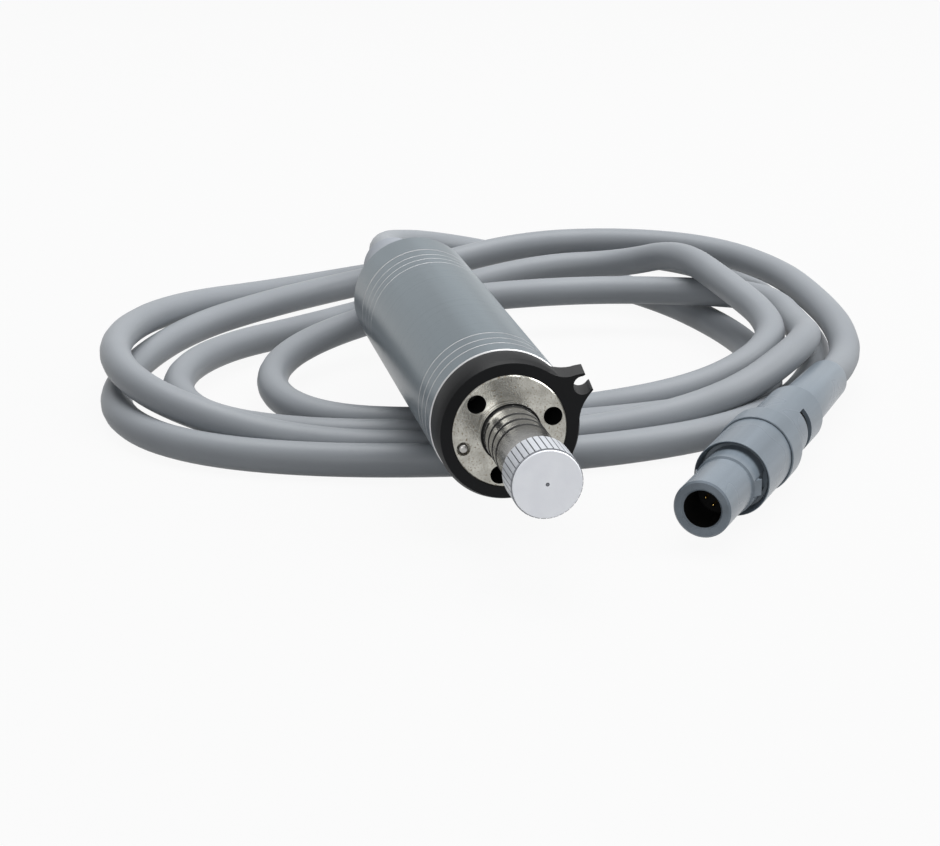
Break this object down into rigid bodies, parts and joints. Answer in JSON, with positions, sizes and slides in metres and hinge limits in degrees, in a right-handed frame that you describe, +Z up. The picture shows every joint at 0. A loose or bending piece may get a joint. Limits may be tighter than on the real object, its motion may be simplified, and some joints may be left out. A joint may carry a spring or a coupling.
{
  "type": "implant micromotor",
  "caption": "Brushless surgical micromotor with a coupling nose, a coolant clip ring, a long coiled silicone cable and a round push-pull plug.",
  "frame": {"origin": "centre of the front flange's face, on the motor axis, where a handpiece seats", "axes": "the motor axis lies along Y with the nose towards -Y, +Z up; the cable rests on the plane z = -17.6 mm"},
  "size_m": [0.1467, 0.1914, 0.0291],
  "materials": {
    "tube": "satin anodised, fine turning lines",
    "clip": "matte",
    "flange": "worn satin",
    "screw": "dark",
    "pin": "polished",
    "o_ring": "matte",
    "spring_steel": "polished",
    "cap": "bright satin",
    "carrier": "machined",
    "bearing": "polished",
    "cage": "matte",
    "shaft": "ground",
    "magnet": "nickel plated",
    "band": "ground",
    "balance": "machined",
    "dog": "ground",
    "lamination": "stacked sheet",
    "copper": "enamelled wire",
    "board": "satin",
    "chip": "satin",
    "wire": "satin",
    "boot": "satin",
    "cable": "satin",
    "plug": "satin",
    "insulator": "matte",
    "contact": "gold plated"
  },
  "bodies": {
    "housing": {"motor_sleeve": "tube", "nose_flange": "flange", "flange_screws": "screw", "locating_pin": "pin", "nose_o_rings": "o_ring", "nose_lock_spring": "spring_steel", "front_bearing_carrier": "carrier", "rear_bearing_carrier": "carrier", "preload_spring": "spring_steel", "stator_core": "lamination", "winding": "copper", "phase_leads": "copper", "sensor_board": "board", "hall_sensors": "chip", "lead_wires": "wire", "rear_cap": "tube", "rear_seal": "o_ring", "cable_boot": "boot", "cable_clamp": "carrier", "cable_entry": "cable", "front_outer_race": "bearing", "rear_outer_race": "bearing", "cable_lead": "cable", "cable_turn_1": "cable", "cable_turn_2": "cable", "cable_turn_3": "cable", "cable_turn_4": "cable", "cable_tail": "cable", "plug_barrel": "plug", "plug_latch": "plug", "sleeve_spring": "spring_steel", "plug_rear_body": "plug", "plug_collet_nut": "plug", "plug_cable_collet": "insulator", "plug_bend_relief": "plug", "plug_cable_end": "cable", "plug_insulator": "insulator", "contact_pins": "contact"},
    "rotor": {"rotor_shaft": "shaft", "rotor_magnet": "magnet", "magnet_band": "band", "balance_rings": "balance", "front_inner_race": "bearing", "rear_inner_race": "bearing", "dog_spring": "spring_steel"},
    "front_ball_set": {"front_cage": "cage", "front_balls": "bearing"},
    "rear_ball_set": {"rear_cage": "cage", "rear_balls": "bearing"},
    "dog": {"drive_dog": "dog"},
    "cap": {"nose_cap": "cap"},
    "clip": {"clip_ring": "clip"},
    "release": {"plug_release_sleeve": "plug"}
  },
  "joints": [
    {"name": "rotor_spin", "type": "hinge", "parent": "housing", "child": "rotor", "pos_m": [0, 0.04, 0], "axis": [0, 1, 0], "continuous": true},
    {"name": "front_cage_spin", "type": "hinge", "parent": "housing", "child": "front_ball_set", "pos_m": [0, 0.0185, 0], "axis": [0, 1, 0], "continuous": true},
    {"name": "rear_cage_spin", "type": "hinge", "parent": "housing", "child": "rear_ball_set", "pos_m": [0, 0.063, 0], "axis": [0, 1, 0], "continuous": true},
    {"name": "dog_slide", "type": "slide", "parent": "rotor", "child": "dog", "axis": [0, 1, 0], "range_m": [0, 0.0014], "stiffness_N_per_m": 600, "springref_m": -0.0005, "deforming": ["dog_spring"]},
    {"name": "cap_pull", "type": "slide", "parent": "housing", "child": "cap", "axis": [0, -1, 0], "range_m": [0, 0.1]},
    {"name": "clip_turn", "type": "hinge", "parent": "housing", "child": "clip", "pos_m": [0, 0.003, 0], "axis": [0, 1, 0], "range_deg": [-150, 150]},
    {"name": "release_slide", "type": "slide", "parent": "housing", "child": "release", "axis": [0.5889, 0.8082, 0], "range_m": [0, 0.002], "stiffness_N_per_m": 500, "springref_m": -0.001, "deforming": ["sleeve_spring"]}
  ],
  "couplings": [
    {"joint": "front_cage_spin", "follows": "rotor_spin", "ratio": 0.3944},
    {"joint": "rear_cage_spin", "follows": "rotor_spin", "ratio": 0.3944}
  ]
}
